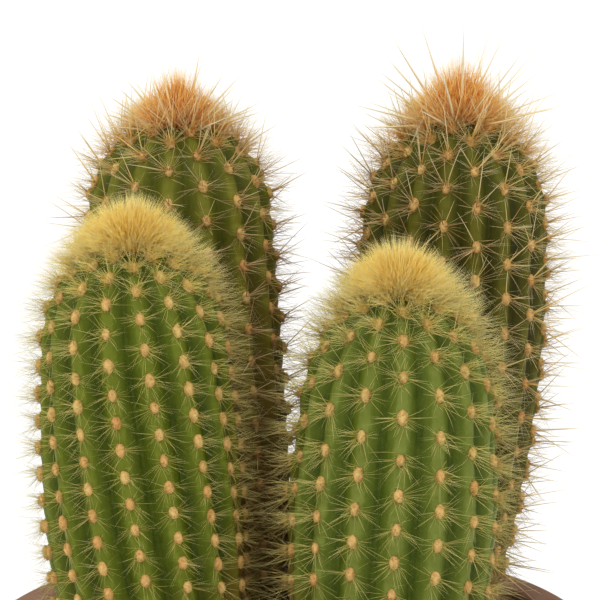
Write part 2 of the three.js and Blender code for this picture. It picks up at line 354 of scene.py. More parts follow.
def add_strands(bunch, root, direction, length, radius, bend, tint, segments=3, sides=3,
                start=0.0):
    """Tapered curved spines or hairs with 3 or 4 sides: one row of each array for each strand.
    bend is how far the tip is carried off the straight line, and start is where on the map the
    strand begins."""
    count = len(root)
    direction = unit(direction)
    level = np.abs(direction[:, 2:]) < 0.9
    side = unit(np.cross(direction, np.where(level, [[0, 0, 1.0]], [[1.0, 0, 0]])))
    other = np.cross(direction, side)
    t = np.arange(segments) / segments
    thick = (1 - t) ** STRAND_TAPER
    turn = circle(sides)
    line = (root[:, None] + direction[:, None] * (length[:, None] * t)[..., None]
            + bend[:, None] * (t**2)[None, :, None])
    across = (side[:, None] * np.cos(turn)[None, :, None]
              + other[:, None] * np.sin(turn)[None, :, None])
    rings = line[:, :, None] + across[:, None] * (radius[:, None] * thick)[:, :, None, None]
    tip = root + direction * length[:, None] + bend
    points = np.concatenate([rings.reshape(count, -1, 3), tip[:, None]], 1)

    j = np.arange(sides)
    i = np.arange(segments - 1)[:, None]
    n = (j + 1) % sides
    last = (segments - 1) * sides
    quads = np.stack([i * sides + j, i * sides + n, (i + 1) * sides + n, (i + 1) * sides + j], -1)
    tris = np.stack([last + j, last + n, np.full(sides, segments * sides)], -1)
    v = start + (1 - start) * t
    shift = (tint * (1 - TINT_WIDTH))[:, None]
    u0, u1, middle = (shift + x / sides * TINT_WIDTH for x in (j, j + 1, j + 0.5))
    low, high = v[:-1, None], v[1:, None]
    quad_u0, quad_u1 = u0[:, None], u1[:, None]
    quad_uv = corner_uvs((quad_u0, low), (quad_u1, low), (quad_u1, high), (quad_u0, high))
    tri_uv = corner_uvs((u0, v[-1]), (u1, v[-1]), (middle, 1.0))
    root_uv = corner_uvs((shift, start), (shift, start + CAP_DEPTH),
                         (shift + TINT_WIDTH, start + CAP_DEPTH), (shift + TINT_WIDTH, start))
    faces = {4: quads.reshape(-1, 4), 3: tris}
    uvs = {4: quad_uv.reshape(count, -1, 4, 2), 3: tri_uv}
    faces[sides] = np.concatenate([faces[sides], j[None, ::-1]])
    uvs[sides] = np.concatenate([uvs[sides], root_uv[:, :, :sides]], 1)
    along = np.concatenate([np.repeat(v, sides), [1.0]])
    bunch.add(points, faces[4], faces[3], uvs[4], uvs[3], tint, along)


PAD_SECTORS = 12
PAD_LEVELS = (72, 50, 26, 2, -40)  # degrees over the cushion's widest level
PAD_LUMPS = 0.07
PAD_BELOW = 0.7  # depth of a cushion's underside as a share of its height


def add_pads(bunch, at, normal, up, side, size, tint, rng):
    """Lumpy oval cushions, each longer along the rib; size is half width, half length and
    height."""
    count, rows = len(at), len(PAD_LEVELS)
    turn = circle(PAD_SECTORS)
    level = np.radians(PAD_LEVELS)
    x = np.cos(level)[:, None] * np.cos(turn)
    y = np.cos(level)[:, None] * np.sin(turn)
    z = np.broadcast_to(np.sin(level)[:, None], x.shape)
    lump = 1 + rng.normal(0, PAD_LUMPS, (count, rows, PAD_SECTORS))
    local = np.stack([x[None] * lump, y[None] * lump, z[None] * lump], -1) * size[:, None, None]
    ends = np.stack([size * [0, 0, 1.0], size * [0, 0, -PAD_BELOW]], 1)
    local = np.concatenate([ends[:, :1], local.reshape(count, -1, 3), ends[:, 1:]], 1)
    points = (at[:, None] + local[..., :1] * side[:, None] + local[..., 1:2] * up[:, None]
              + local[..., 2:] * normal[:, None])
    quads, tris, uv = closed_grid(rows, PAD_SECTORS)
    shift = (tint * (1 - TINT_WIDTH))[:, None]
    uv = np.broadcast_to(uv, (count, len(uv), 2)).copy()
    uv[..., 0] = shift + uv[..., 0] * TINT_WIDTH
    split = len(quads) * 4
    rise = np.repeat((np.arange(rows) + 1) / (rows + 1), PAD_SECTORS)
    along = 1 - np.concatenate([[0], rise, [1]])
    bunch.add(points, quads, tris, uv[:, :split], uv[:, split:], tint, along)


# ---------------------------------------------------------------- materials

def srgb(*display):
    """A colour given as three 0-255 display values, as the linear values that nodes take."""
    linear = [((c / 255 + 0.055) / 1.055) ** 2.4 if c > 10 else c / 255 / 12.92 for c in display]
    return (*linear, 1.0)


def shades(*stops):
    """The stops of a colour ramp, each given as its position and three display values."""
    return [(position, srgb(*display)) for position, *display in stops]


class Shader:
    """A material's node tree, with a short call for each kind of node used."""

    def __init__(self, name, roughness, **inputs):
        self.material = bpy.data.materials.new(name)
        self.material.use_nodes = True
        self.tree = self.material.node_tree
        self.tree.nodes.clear()
        output = self.tree.nodes.new("ShaderNodeOutputMaterial")
        self.surface = self.tree.nodes.new("ShaderNodeBsdfPrincipled")
        self.tree.links.new(self.surface.outputs[0], output.inputs[0])
        self.set_inputs(self.surface, Roughness=roughness, **inputs)

    def set(self, socket, value):
        if isinstance(value, bpy.types.NodeSocket):
            self.tree.links.new(value, socket)
        else:
            socket.default_value = value

    def set_inputs(self, node, **inputs):
        for key, value in inputs.items():
            self.set(node.inputs[key.replace("_", " ")], value)

    def attribute(self, name):
        node = self.tree.nodes.new("ShaderNodeAttribute")
        node.attribute_name = name
        return node.outputs["Fac"]

    def object_point(self, scale=(1.0, 1.0, 1.0)):
        place = self.tree.nodes.new("ShaderNodeTexCoord")
        mapping = self.tree.nodes.new("ShaderNodeMapping")
        self.set_inputs(mapping, Vector=place.outputs["Object"], Scale=scale)
        return mapping.outputs[0]

    def noise(self, scale, detail, roughness=0.5, point=None):
        node = self.tree.nodes.new("ShaderNodeTexNoise")
        self.set_inputs(node, Vector=point or self.object_point(), Scale=scale, Detail=detail,
                        Roughness=roughness)
        return node.outputs[0]

    def ramp(self, factor, *stops):
        node = self.tree.nodes.new("ShaderNodeValToRGB")
        items = node.color_ramp.elements
        while len(items) < len(stops):
            items.new(0.5)
        for item, (position, colour) in zip(items, stops):
            item.position = position
            item.color = colour if isinstance(colour, tuple) else (colour, colour, colour, 1)
        self.set(node.inputs[0], factor)
        return node.outputs[0]

    def mix(self, factor, a, b):
        node = self.tree.nodes.new("ShaderNodeMix")
        node.data_type = "RGBA"
        for socket, value in zip((node.inputs[0], node.inputs[6], node.inputs[7]), (factor, a, b)):
            self.set(socket, value)
        return node.outputs[2]

    def math(self, operation, a, b):
        node = self.tree.nodes.new("ShaderNodeMath")
        node.operation = operation
        node.use_clamp = True
        self.set(node.inputs[0], a)
        self.set(node.inputs[1], b)
        return node.outputs[0]

    def blend(self, a, share_a, b, share_b):
        """The two values added up, each times its share."""
        part_a, part_b = self.math("MULTIPLY", a, share_a), self.math("MULTIPLY", b, share_b)
        return self.math("ADD", part_a, part_b)

    def bump(self, height, strength, distance):
        node = self.tree.nodes.new("ShaderNodeBump")
        self.set_inputs(node, Strength=strength, Distance=distance, Height=height)
        self.tree.links.new(node.outputs[0], self.surface.inputs["Normal"])

    def finish(self, colour, roughness=None):
        self.set(self.surface.inputs["Base Color"], colour)
        if roughness is not None:
            self.set(self.surface.inputs["Roughness"], roughness)
        return self.material


YOUNG_SKIN = srgb(88, 98, 22)
# brown of the cork at the foot, also laid on as painted shade on the stems' inner sides
CORK_AND_SHADE = srgb(104, 80, 24), srgb(156, 122, 56)


def skin_material(name, crest, flank, groove):
    """Waxy green skin: bloomed blue-green over the crests and deep green down in the grooves, where
    the dark is partly painted shade; brown towards the soil, cork at the foot, and brown painted
    shade, with some dead growth, on the sides that face the middle of the clump."""
    s = Shader(name, roughness=0.55, Specular_IOR_Level=0.16)
    depth, height, shade = s.attribute("groove"), s.attribute("height"), s.attribute("inner")
    blotch = s.noise(240, 4, 0.6)
    streak = s.noise(900, 3, 0.6, s.object_point((1, 1, 0.22)))
    speck = s.noise(2600, 2, 0.6)
    wander = s.math("ADD", depth, s.math("MULTIPLY", s.math("SUBTRACT", streak, 0.42), 0.5))
    # darker towards the grooves: partly the skin's own green and partly painted shade
    colour = s.ramp(wander, (0.0, crest), (0.3, crest), (0.5, flank), (0.9, groove))
    colour = s.mix(s.ramp(blotch, (0.4, 0.0), (0.66, 0.5)), colour, flank)
    colour = s.mix(s.ramp(speck, (0.45, 0.0), (0.7, 0.25)), colour, crest)
    colour = s.mix(s.ramp(height, (0.72, 0.0), (1.0, 0.35)), colour, YOUNG_SKIN)
    # the foot's cork, and painted shade in the same brown on the sides that face the middle of the
    # clump
    foot = s.math("ADD", s.ramp(height, (0.0, 0.95), (0.09, 0.5), (0.3, 0.0)), shade)
    cork_and_inner_shade = s.math("MULTIPLY", foot, s.math("ADD", blotch, 0.35))
    colour = s.mix(s.ramp(cork_and_inner_shade, (0.12, 0.0), (0.72, 0.85)), colour, s.mix(streak, *CORK_AND_SHADE))
    s.bump(s.blend(speck, 0.5, streak, 0.5), 0.35, 0.0004)
    return s.finish(colour, s.ramp(blotch, (0.3, 0.5), (0.7, 0.66)))


def strand_material(name, base, tip, roughness=0.5, hold=0.05):
    """Spines, bristles or wool: base and tip are ramps over each strand's tint, and hold is the
    share of the strand that keeps the colour of its base."""
    s = Shader(name, roughness=roughness, Specular_IOR_Level=0.25)
    tint, along = s.attribute("tint"), s.attribute("along")
    low, high = s.ramp(tint, *base), s.ramp(tint, *tip)
    return s.finish(s.mix(s.ramp(along, (hold, 0.0), (0.95, 1.0)), low, high))


def soil_material():
    dark, light = srgb(70, 48, 32), srgb(116, 86, 58)
    humus, sand = srgb(58, 40, 27), srgb(150, 122, 88)
    s = Shader("soil", roughness=0.95)
    clod, crumb, fine = s.noise(130, 5, 0.65), s.noise(520, 5, 0.7), s.noise(2400, 3, 0.6)
    colour = s.mix(s.ramp(crumb, (0.36, 0.0), (0.66, 1.0)), dark, light)
    colour = s.mix(s.ramp(clod, (0.35, 0.0), (0.7, 0.7)), colour, humus)
    colour = s.mix(s.ramp(fine, (0.6, 0.0), (0.72, 0.5)), colour, sand)
    s.bump(s.blend(crumb, 0.7, fine, 0.3), 0.8, 0.0016)
    return s.finish(colour)


def clay_material():
    """Dark fired clay: turning lines, pores, darker patches, faint lime bloom at rim and foot, and
    darker walls inside."""
    lines, pores = srgb(98, 60, 36), srgb(164, 118, 84)
    lime, darker_inside = srgb(166, 136, 110), srgb(78, 52, 34)
    s = Shader("clay", roughness=0.85)
    patch, cloud, grain = s.noise(26, 5, 0.6), s.noise(90, 5, 0.62), s.noise(1500, 4, 0.7)
    line = s.noise(420, 3, 0.55, s.object_point((0.05, 0.05, 1)))
    colour = s.ramp(patch, *shades((0.3, 112, 70, 42), (0.5, 126, 80, 50), (0.72, 142, 94, 62)))
    colour = s.mix(s.ramp(line, (0.35, 0.0), (0.7, 0.35)), colour, lines)
    colour = s.mix(s.ramp(grain, (0.58, 0.0), (0.72, 0.6)), colour, pores)
    ends = s.ramp(s.attribute("height"), (0.0, 0.9), (0.1, 0.25), (0.22, 0.0), (0.7, 0.0),
                  (0.86, 0.35), (1.0, 0.95))
    bloom = s.ramp(s.math("MULTIPLY", ends, cloud), (0.25, 0.0), (0.6, 0.5))
    colour = s.mix(bloom, colour, lime)
    # darker on the walls inside
    colour = s.mix(s.ramp(s.attribute("inside"), (0.0, 0.0), (1.0, 0.75)), colour, darker_inside)
    s.bump(s.blend(line, 0.6, grain, 0.4), 0.5, 0.0006)
    return s.finish(colour, s.ramp(cloud, (0.3, 0.78), (0.7, 0.93)))


# the skin's crests, flanks and grooves; the grooves' dark green is partly painted shade
SKINS = {
    "front_left": (srgb(106, 116, 28), srgb(78, 90, 2), srgb(50, 64, 0)),
    "front_right": (srgb(112, 122, 48), srgb(82, 96, 18), srgb(54, 70, 4)),
    "back_left": (srgb(114, 112, 28), srgb(82, 84, 6), srgb(58, 60, 0)),
    "back_right": (srgb(94, 90, 18), srgb(66, 64, 2), srgb(44, 42, 0)),
}

# young, grown and old spines, at the root and at the tip; the old browns are also painted shade
# on the sides that face the middle of the clump
SPINE_MATERIALS = {
    "golden": strand_material(
        "spines_golden",
        shades((0.0, 242, 214, 112), (0.4, 180, 164, 78), (0.7, 168, 142, 70), (1.0, 150, 114, 56)),
        shades((0.0, 246, 234, 170), (0.4, 206, 198, 128), (0.7, 190, 168, 102),
               (1.0, 174, 138, 80))),
    "rust": strand_material(
        "spines_rust",
        shades((0.0, 236, 192, 96), (0.4, 196, 164, 96), (0.7, 176, 126, 68), (1.0, 146, 102, 52)),
        shades((0.0, 244, 228, 170), (0.4, 238, 226, 188), (0.7, 210, 174, 126),
               (1.0, 176, 134, 86))),
}

# bristles from the middle of the crown to its edge, at the root and at the tip
CROWN_MATERIALS = {
    # golden: the root colours are lightened towards the crown's edge, painted light against the
    # shade the bristles cast on one another
    "golden": strand_material(
        "bristles_golden",
        shades((0.0, 255, 204, 56), (0.4, 255, 208, 70), (0.8, 255, 226, 120),
               (1.0, 232, 220, 150)),
        shades((0.0, 232, 226, 166), (0.4, 252, 226, 124), (0.8, 242, 230, 156),
               (1.0, 226, 222, 178)),
        hold=0.4),
    "rust": strand_material(
        "bristles_rust",
        shades((0.0, 226, 102, 8), (0.5, 238, 122, 14), (0.8, 234, 166, 62), (1.0, 236, 220, 176)),
        shades((0.0, 246, 218, 126), (0.4, 250, 204, 96), (0.8, 246, 228, 150),
               (1.0, 246, 240, 216)),
        hold=0.42),
}
# areole wool: each cushion's top takes the tip colours and its sides the root colours, a lighter
# centre and darker rim that are partly the wool's own colour and partly painted highlight and
# shade; the hairs pale towards their tips
WOOL = strand_material(
    "areole_wool",
    shades((0.0, 194, 158, 70), (0.5, 188, 140, 64), (1.0, 170, 108, 44)),
    shades((0.0, 222, 200, 126), (0.5, 220, 186, 120), (1.0, 206, 156, 90)), roughness=0.9)


# ---------------------------------------------------------------- stems

SKIN_STEP = 0.65
SKIN_END = 0.5  # distance from each end point of the skin to its nearest ring
POINTS_PER_RIB = 16
GROOVE_CURVE = 1.6
SWELL = 0.75  # how far a rib swells at an areole
NICK = 0.45  # depth of the nick between one swelling and the next


def build_skin(stem):
    """The ribbed skin from the tip to the buried foot."""
    rng = np.random.default_rng(stem["seed"])
    columns = stem["ribs"] * POINTS_PER_RIB
    d = np.arange(SKIN_END, length_of(stem) + BURIED - SKIN_END, SKIN_STEP)[:, None]
    c = np.arange(columns)[None]
    shape = len(d), columns
    angle = TAU * c / columns
    r, h = meridian(stem, d)

    # off is 0 on a crest and 1 in a groove, and q is 0 at an areole and runs half a step each way
    off = np.abs((c / POINTS_PER_RIB + 0.5) % 1 - 0.5) * 2
    rib = np.floor(c / POINTS_PER_RIB + 0.5) % stem["ribs"]
    q = ((d - first_areole(stem, rib)) / stem["step"] + 0.5) % 1 - 0.5
    groove = RIB_DEPTH * off**GROOVE_CURVE
    swell = SWELL * np.exp(-((q / 0.24) ** 2)) * np.exp(-((off / 0.5) ** 2))
    nick = NICK * np.exp(-(((q + 0.36 - 0.22 * off) / 0.07) ** 2)) * (1 - off) * (off < 1)
    ripple = waves(angle * stem["radius"] + 0 * d, d + 0 * angle, rng, 0.3, 0.15, 0.5)
    reach = r + rib_share(stem, r, h) * (swell - groove - nick + ripple)
    side = on_stem(stem, reach, h + 0 * angle, angle + 0 * d)
    zero = np.array([0.0])
    tip = skin_point(stem, zero, zero)
    root = on_stem(stem, zero, zero - BURIED, zero)
    quads, tris, uv = closed_grid(*shape)

    # sides turned to the middle of the clump: brown painted shade there, with some dead growth too
    axis = on_stem(stem, 0 * h, h, 0 * h)
    facing = (unit((side - axis) * LEVEL) * unit(-axis * LEVEL)).sum(-1)
    low_down = np.clip(1 - (h - 20) / (0.75 * stem["height"]), 0, 1)
    inner = 0.8 * np.clip((facing - 0.25) / 0.6, 0, 1) * low_down

    def every_point(value, at_tip, at_root):
        return np.concatenate([[at_tip], np.broadcast_to(value, shape).ravel(), [at_root]])

    return make_piece(
        "skin_" + stem["name"], np.concatenate([tip, side.reshape(-1, 3), root]), quads, tris, uv,
        skin_material("skin_" + stem["name"], *SKINS[stem["name"]]),
        ("stem_" + stem["name"],),
        {"groove": every_point(off, 0, 0.5),
         "height": every_point(np.clip(h / stem["height"], 0, 1), 1, 0),
         "inner": every_point(inner, 0, 0)})


def inner_share(stem, at):
    """1 on the side of a stem that faces the middle of the clump, 0 on its outer side."""
    foot = np.append(stem["foot"], 0)
    lean = np.append(stem["lean"], 0) * 0.6
    outward = unit((at - foot - lean) * LEVEL)
    return np.clip((outward @ unit(-foot) - 0.1) / 0.7, 0, 1)


PAD_SIZE = 1.22, 1.75, 0.9
PAD_LIFT = 0.55
WOOL_HAIRS = 46
WOOL_RADIUS = 0.085


def build_areoles(stem):
    """The woolly cushions, each with short hairs standing out of it."""
    rng = np.random.default_rng(stem["seed"] + AREOLE_SEED)
    spots = bare_areoles(stem)
    count = len(spots)
    at, normal, up, side = skin_frame(stem, spots[:, 0], spots[:, 1])
    share = rib_share(stem, *meridian(stem, spots[:, 0]))
    at = at + normal * (PAD_LIFT * share)[:, None]
    young = np.exp(-(spots[:, 0] - stem["reach"]) / 25)
    tint = np.clip(0.15 + 0.5 * (1 - young) + rng.normal(0, 0.14, count), 0, 1)
    grow = (1 - 0.12 * young) * rng.uniform(0.88, 1.12, count)
    size = np.stack([x * grow for x in PAD_SIZE], -1)
    bunch = Bunch()
    add_pads(bunch, at, normal, up, side, size, tint, rng)

    which = np.repeat(np.arange(count), WOOL_HAIRS)
    total = len(which)
    spin, lift = rng.uniform(0, TAU, total), rng.uniform(0.05, 1, total) ** 0.7
    flat = np.sqrt(np.clip(1 - lift**2, 0, 1))
    local = np.stack([flat * np.cos(spin), flat * np.sin(spin), lift], -1)
    axes = np.stack([side[which], up[which], normal[which]], 1)
    root = at[which] + np.einsum("ni,nij->nj", local * size[which] * 0.9, axes)
    out = np.einsum("ni,nij->nj", local / size[which], axes)
    direction = unit(unit(out) + rng.normal(0, 0.35, (total, 3)))
    length = rng.uniform(0.35, 0.8, total)
    bend = rng.normal(0, 0.1, (total, 3))
    tint = np.clip(tint[which] + rng.normal(0, 0.08, total), 0, 1)
    add_strands(bunch, root, direction, length, np.full(total, WOOL_RADIUS), bend, tint,
                segments=1, start=0.35)
    return bunch.piece("areoles_" + stem["name"], WOOL, "areole_wool")


SPINE_LIFT = 0.9
YOUNG_LENGTH = 17  # the distance down the side over which areoles grow up
YOUNG_EXTRA = 12  # more radial spines on a young areole
FRINGE_LENGTH = 45  # the distance down the side over which the long fine hair thins out
FRINGE_HAIR = 3  # how much longer it is than the radial spines


def build_spines(stem):
    """The radial spines, the long fine hair and the central spines of the areoles."""
    rng = np.random.default_rng(stem["seed"] + SPINE_SEED)
    spots = bare_areoles(stem)
    count = len(spots)
    at, normal, up, side = skin_frame(stem, spots[:, 0], spots[:, 1])
    at = at + normal * SPINE_LIFT
    past_crown = spots[:, 0] - stem["reach"]
    young = np.clip(np.exp(-past_crown / YOUNG_LENGTH), 0, 1)
    height = meridian(stem, spots[:, 0])[1] / stem["height"]
    inner = inner_share(stem, at)
    bunch = Bunch()

    # radial spines: a fan to each side with fewer above and below, nearly flat to the skin on
    # grown areoles and standing up in a brush on young ones
    number = np.round(stem["hairs"] + YOUNG_EXTRA * young + rng.integers(-2, 3, count)).astype(int)
    which = np.repeat(np.arange(count), number)
    total = len(which)
    left = rng.choice([-1, 1], total)
    phi = np.radians(np.clip(rng.normal(104, 30, total), 12, 178)) * left
    rise = np.radians(np.clip(36 + 16 * young[which] + rng.normal(0, 12, total), 8, 84))
    flat = np.cos(phi)[:, None] * up[which] + np.sin(phi)[:, None] * side[which]
    direction = np.cos(rise)[:, None] * flat + np.sin(rise)[:, None] * normal[which]
    direction = unit(direction + 0.3 * young[which, None] * up[which])
    length = (stem["fine"] + 1.2 * young[which]) * rng.uniform(0.55, 1.25, total)
    root = at[which] + flat * rng.uniform(0.2, 0.9, total)[:, None] - normal[which] * 0.35
    bend = -normal[which] * (0.06 * length)[:, None] + rng.normal(0, 0.35, (total, 3))
    low_down = np.clip(0.35 - height[which], 0, 1) / 0.35
    # older lower down, and browner on the side that faces the middle of the clump as painted shade
    age_and_inner_shade = 0.4 - 0.4 * young[which] + 0.3 * low_down + 0.38 * inner[which]
    tint = np.clip(age_and_inner_shade + rng.normal(0, 0.1, total), 0, 1)
    radius = stem["hair"] * rng.uniform(0.75, 1.3, total)
    add_strands(bunch, root, direction, length, radius, bend, tint)

    # long fine hair standing straight out of the younger areoles, the fringe of the shoulders
    number = np.round(stem["fringe"] * np.exp(-past_crown / FRINGE_LENGTH)).astype(int)
    which = np.repeat(np.arange(count), number)
    total = len(which)
    level = unit(normal * LEVEL)
    direction = unit(0.6 * normal[which] + 0.5 * level[which] + rng.normal(0, 0.3, (total, 3)))
    length = (stem["fine"] + FRINGE_HAIR) * rng.uniform(0.5, 1.1, total)
    tint = np.clip(0.3 - 0.3 * young[which] + rng.normal(0, 0.1, total), 0, 1)
    turn = rng.uniform(0, TAU, total)
    beside = np.cos(turn)[:, None] * 1.3 * side[which] + np.sin(turn)[:, None] * 1.9 * up[which]
    root = at[which] + beside - normal[which] * 1.1
    radius = stem["hair"] * rng.uniform(0.9, 1.4, total)
    bend = rng.normal(0, 0.7, (total, 3))
    add_strands(bunch, root, direction, length, radius, bend, tint)

    # central spines: stouter, standing out of the areole
    number = np.where(rng.random(count) < 0.75, 1, 2) + stem["needles"]
    which = np.repeat(np.arange(count), number)
    total = len(which)
    direction = unit(normal[which] + (0.25 + 0.45 * young[which, None]) * up[which]
                     + rng.normal(0, 0.38, (total, 3)))
    reach = stem["fine"] * CROWNS[stem["crown"]]["central"]
    length = reach * rng.uniform(0.55, 1.2, total) * (0.85 + 0.25 * young[which])
    # browner on the side that faces the middle of the clump as painted shade
    tint = np.clip(0.3 + 0.25 * inner[which] - 0.25 * young[which] + rng.normal(0, 0.2, total),
                   0, 1)
    radius = stem["hair"] * (1.3 + 0.85 * stem["needles"]) * rng.uniform(0.8, 1.2, total)
    bend = rng.normal(0, 0.6, (total, 3))
    add_strands(bunch, at[which] - normal[which] * 0.4, direction, length, radius, bend, tint,
                segments=4, sides=4)
    return bunch.piece("spines_" + stem["name"], SPINE_MATERIALS[stem["crown"]], "pale_spines")


CROWN_BRISTLES = 5200
CROWN_SPREAD = 82  # degrees from the axis that the bristles lean at the crown's edge
BRISTLE_RADIUS = 0.085
BRUSH_BRISTLES = 10, 56  # in the brush of a grown areole, and how many more in a young one's
BRUSH_FADE = 9


def build_crown(stem):
    """The bristles, brushes and stout spines over the growing tip."""
    rng = np.random.default_rng(stem["seed"] + CROWN_SEED)
    kind = CROWNS[stem["crown"]]
    bunch = Bunch()
    axis = skin_frame(stem, np.array([0.05]), np.array([0.0]))[1]

    def crown_frame(d, angle):
        """Point, normal and the direction square to the axis."""
        at, normal = skin_frame(stem, d, angle)[:2]
        return at, normal, unit(normal - (normal @ axis.T) * axis)

    def lean_out(polar, outward):
        return axis * np.cos(polar)[:, None] + outward * np.sin(polar)[:, None]

    # the thick of the crown: a half sun, upright in the middle and nearly level at its edge
    total = CROWN_BRISTLES
    share = rng.random(total) ** 0.62
    angle = rng.uniform(0, TAU, total)
    at, normal, outward = crown_frame(stem["reach"] * share + 0.05, angle)
    polar = np.radians(CROWN_SPREAD) * share + rng.normal(0, 0.16, total)
    direction = unit(lean_out(polar, outward) + rng.normal(0, 0.13, (total, 3)))
    length = stem["bristle"] * (1 - 0.3 * share) * (0.45 + 0.65 * rng.random(total) ** 0.7)
    if kind["plume"]:
        length = length * (0.92 + kind["plume"] * np.exp(-((share / 0.3) ** 2)))
    tint = np.clip(0.05 + 0.62 * share + rng.normal(0, 0.09, total), 0, 0.8)
    bend = rng.normal(0, 0.6, (total, 3)) - axis * (0.05 * length)[:, None]
    radius = BRISTLE_RADIUS * rng.uniform(0.6, 1.4, total)
    add_strands(bunch, at - normal * 0.3, direction, length, radius, bend, tint)

    # brushes of the young areoles round it, which thin out down the shoulders
    spots = areoles(stem)
    spots = spots[(spots[:, 0] > stem["reach"] * 0.5) & (spots[:, 0] < stem["reach"] + 16)]
    fade = np.exp(-np.clip(spots[:, 0] - stem["reach"], 0, None) / BRUSH_FADE)
    number = np.round(BRUSH_BRISTLES[0] + BRUSH_BRISTLES[1] * fade).astype(int)
    which = np.repeat(np.arange(len(spots)), number)
    total = len(which)
    fade = fade[which]
    d = spots[which, 0] + rng.normal(0, 0.8, total)
    at, normal, outward = crown_frame(d, spots[which, 1] + rng.normal(0, 0.7, total) / (d + 2))
    direction = unit(0.45 * normal + 0.75 * outward + rng.normal(0, 0.24, (total, 3)))
    length = stem["bristle"] * (0.62 + 0.16 * fade) * rng.uniform(0.5, 1.1, total)
    tint = np.clip(0.82 - 0.2 * fade + rng.normal(0, 0.1, total), 0, 1)
    radius = (0.05 + 0.02 * fade) * rng.uniform(0.7, 1.3, total)
    bend = rng.normal(0, 0.55, (total, 3))
    add_strands(bunch, at, direction, length, radius, bend, tint)

    # long stout spines fanned out over the tip
    count = kind["stout"]
    around = np.arange(count) * GOLDEN_ANGLE + rng.normal(0, 0.15, count)
    share = np.sqrt((np.arange(count) + 0.5) / count)
    at, normal, outward = crown_frame(1.5 + 10 * share, around)
    polar = np.radians(6 + 76 * share) + rng.normal(0, 0.07, count)
    direction = unit(lean_out(polar, outward))
    length = stem["spine"] * rng.uniform(0.7, 1, count) * (1 - 0.25 * share) * kind["stout_length"]
    radius = kind["stout_radius"] * rng.uniform(0.8, 1.15, count)
    bend = rng.normal(0, 0.6, (count, 3))
    tint = np.clip(0.97 + rng.normal(0, 0.03, count), 0, 1)
    add_strands(bunch, at - normal * 0.4, direction, length, radius, bend, tint,
                segments=5, sides=4)
    return bunch.piece("bristles_" + stem["name"], CROWN_MATERIALS[stem["crown"]],
                       stem["crown"] + "_bristles", ("crown_" + stem["name"],))


# ---------------------------------------------------------------- pot and soil

POT_COLUMNS = 256
POT_SPACING = 1.7
SOIL_COLUMNS = 360
SOIL_RINGS = 118, 26, 12  # over the top, down the wall and across the floor
HEAP = (0, 1.0), (0.3, 0.985), (0.55, 0.88), (0.86, 0.48), (1.0, 0.0)
CRUMBS = 1500
ROOTLETS = 260


def corner(radius, height, round_, start, end, steps):
    a = np.radians(np.linspace(start, end, steps + 1))
    return [(radius + round_ * math.cos(x), height + round_ * math.sin(x)) for x in a]


def outline_points(outline, spacing):
    """An outline with extra points along its long edges."""
    found = []
    for (r0, z0), (r1, z1) in zip(outline, outline[1:] + outline[:1]):
        steps = max(1, round(math.hypot(r1 - r0, z1 - z0) / spacing))
        found += [(r0 + (r1 - r0) * k / steps, z0 + (z1 - z0) * k / steps) for k in range(steps)]
    return np.array(found)


def bowl_outside(z):
    return BASE_RADIUS + POT_TAPER * min(z, COLLAR_FOOT) / COLLAR_FOOT


def build_pot():
    """The pot, with its outside slightly out of round and lined by the wheel."""
    rng = np.random.default_rng(POT_SEED)
    lip = POT_HEIGHT - LIP_ROUND
    outline = [
        (DRAIN_RADIUS, 0),
        *corner(BASE_RADIUS - BASE_ROUND, BASE_ROUND, BASE_ROUND, -90, 0, 5),
        (BOWL_RADIUS - 0.4, COLLAR_FOOT - 0.6),
        (BOWL_RADIUS + 0.6, COLLAR_FOOT),
        *corner(RIM_RADIUS - BASE_ROUND, COLLAR_FOOT + BASE_ROUND, BASE_ROUND, -80, 0, 5),
        *corner(RIM_RADIUS - LIP_ROUND, lip, LIP_ROUND, 0, 90, 6),
        *corner(MOUTH_RADIUS + LIP_ROUND, lip, LIP_ROUND, 90, 180, 6),
        (MOUTH_RADIUS, COLLAR_FOOT),
        (bowl_outside(BASE_THICKNESS) - WALL, BASE_THICKNESS),
        (DRAIN_RADIUS, BASE_THICKNESS),
    ]
    profile = outline_points(outline, POT_SPACING)
    rows = len(profile)
    angle = circle(POT_COLUMNS)
    r, z = profile[:, :1], profile[:, 1:]

    # the marks of the wheel fade out towards the drain, the foot and the lip
    free = (np.clip((r - DRAIN_RADIUS) / 20, 0, 1) * np.clip(z / 6, 0, 1)
            * np.clip((POT_HEIGHT - z) / 4, 0, 1))
    outer = (r > MOUTH_RADIUS - 14) * free
    wobble = 0.22 * np.sin(2 * angle + 0.6) + 0.12 * np.sin(3 * angle + 2)
    turned = (0.12 * np.sin(z / 2.6 + 0.8 * np.sin(angle))
              + waves(z + 0 * angle, 12 * angle + 0 * z, rng, 0.16, 0.2, 1.1))
    radius = r + outer * (wobble + turned) - 0.25 * (outer > 0)
    points = np.stack([radius * np.cos(angle), radius * np.sin(angle), z + 0 * angle], -1)
    c = np.arange(POT_COLUMNS)
    i = np.arange(rows)[:, None]
    j, n = (i + 1) % rows, (c + 1) % POT_COLUMNS
    quads = np.stack([i * POT_COLUMNS + c, i * POT_COLUMNS + n,
                      j * POT_COLUMNS + n, j * POT_COLUMNS + c], -1)
    u0, u1, v0, v1 = c / POT_COLUMNS, (c + 1) / POT_COLUMNS, i / rows, (i + 1) / rows
    uv = corner_uvs((u0, v0), (u1, v0), (u1, v1), (u0, v1))
    start_inside = next(k for k in range(rows) if profile[k, 1] < POT_HEIGHT - 6 and k > rows / 2)
    inside = np.repeat((np.arange(rows) >= start_inside).astype(float), POT_COLUMNS)
    height = np.repeat(profile[:, 1] / POT_HEIGHT, POT_COLUMNS)
    return make_piece("clay_pot", points.reshape(-1, 3), quads, np.zeros((0, 3)), uv,
                      clay_material(), ("pot",), {"height": height, "inside": inside})


def soil_height(r):
    """Height of the smooth heap at a distance from the pot's axis."""
    return SOIL_EDGE + SOIL_HEAP * np.interp(r / SOIL_RADIUS, *zip(*HEAP))


